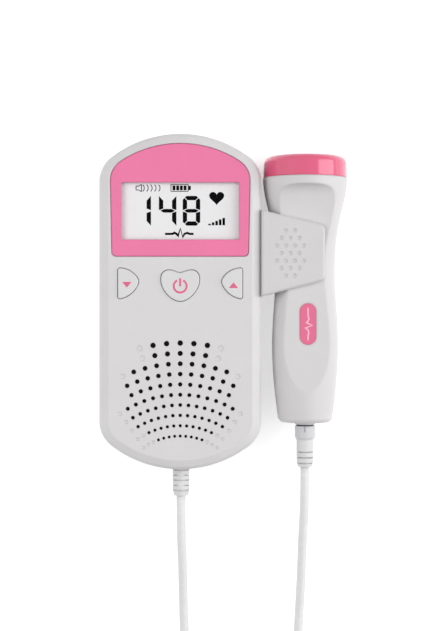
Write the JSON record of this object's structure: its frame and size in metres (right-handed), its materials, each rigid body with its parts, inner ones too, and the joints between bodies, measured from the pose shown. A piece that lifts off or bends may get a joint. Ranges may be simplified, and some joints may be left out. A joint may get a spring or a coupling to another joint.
{
  "type": "fetal doppler monitor",
  "caption": "Flat hand-held heartbeat monitor with a pink display panel, heart key, fan-shaped speaker grille and a corded ultrasound probe clipped in a side holder.",
  "frame": {"origin": "centre of the display unit's flat back face, on the surface that it lies on", "axes": "+X to the unit's right, where the probe is clipped; +Y to its top end; +Z out of the display"},
  "size_m": [0.1018, 0.269, 0.035],
  "materials": {
    "white_shell": "satin moulded ABS, white",
    "white_key": "satin moulded key, white",
    "pink_gloss": "glossy pink panel",
    "pink_cap": "glossy pink cap",
    "pink_label": "pink inlay",
    "clear_window": "clear flat window",
    "lcd_glass": "pale reflective display glass",
    "inner_white": "inner moulding, white",
    "board_green": "green circuit board",
    "chip_black": "black moulded package",
    "zinc_steel": "zinc-plated steel",
    "black_cloth": "black dust cloth",
    "speaker_paper": "black pressed cone",
    "magnet_grey": "ferrite magnet, dark grey",
    "cell_sleeve": "printed sleeve on a cell",
    "contact_nickel": "nickel-plated spring steel",
    "jack_black": "black socket moulding",
    "white_rubber": "soft white moulding",
    "white_collar": "white ferrule",
    "window_resin": "pale cast resin",
    "crystal": "silvered ceramic",
    "backing_resin": "dark damping resin",
    "cord_jacket": "smooth white jacket",
    "tie_white": "white strap"
  },
  "bodies": {
    "monitor": {"front_cover": "white_shell", "rear_cover": "white_shell", "display_bezel": "pink_gloss", "display_window": "clear_window", "lcd_panel": "lcd_glass", "lcd_frame": "inner_white", "main_board": "board_green", "board_chips": "chip_black", "board_screws": "zinc_steel", "housing_screws": "zinc_steel", "tact_switches": "chip_black", "speaker_cloth": "black_cloth", "speaker_frame": "zinc_steel", "speaker_cone": "speaker_paper", "speaker_magnet": "magnet_grey", "battery_cell_left": "cell_sleeve", "battery_cell_right": "cell_sleeve", "battery_contacts": "contact_nickel", "battery_springs": "contact_nickel", "headphone_jack": "jack_black", "unit_strain_relief": "white_rubber", "probe_holder": "white_shell", "holder_screws": "zinc_steel", "cord_unit_run": "cord_jacket", "cord_probe_run": "cord_jacket", "cord_coil": "cord_jacket", "cord_tie": "tie_white"},
    "power_key": {"power_button": "white_key"},
    "volume_down_key": {"volume_down_button": "white_key"},
    "volume_up_key": {"volume_up_button": "white_key"},
    "door": {"battery_door": "white_shell"},
    "probe": {"probe_front_shell": "white_shell", "probe_rear_shell": "white_shell", "probe_screws": "zinc_steel", "probe_label": "pink_label", "probe_cap": "pink_cap", "probe_window": "window_resin", "crystal_transmit": "crystal", "crystal_receive": "crystal", "crystal_backing": "backing_resin", "probe_board": "board_green", "probe_collar": "white_collar", "probe_boot": "white_rubber"}
  },
  "joints": [
    {"name": "power_button_press", "type": "slide", "parent": "monitor", "child": "power_key", "axis": [0, 0, -1], "range_m": [0, 0.0006], "stiffness_N_per_m": 400, "springref_m": -0.0008},
    {"name": "volume_down_press", "type": "slide", "parent": "monitor", "child": "volume_down_key", "axis": [0, 0, -1], "range_m": [0, 0.0006], "stiffness_N_per_m": 400, "springref_m": -0.0008},
    {"name": "volume_up_press", "type": "slide", "parent": "monitor", "child": "volume_up_key", "axis": [0, 0, -1], "range_m": [0, 0.0006], "stiffness_N_per_m": 400, "springref_m": -0.0008},
    {"name": "battery_door_slide", "type": "slide", "parent": "monitor", "child": "door", "axis": [0, -1, 0], "range_m": [0, 0.058]},
    {"name": "probe_unclip", "type": "slide", "parent": "monitor", "child": "probe", "axis": [1, 0, 0], "range_m": [0, 0.042]}
  ]
}
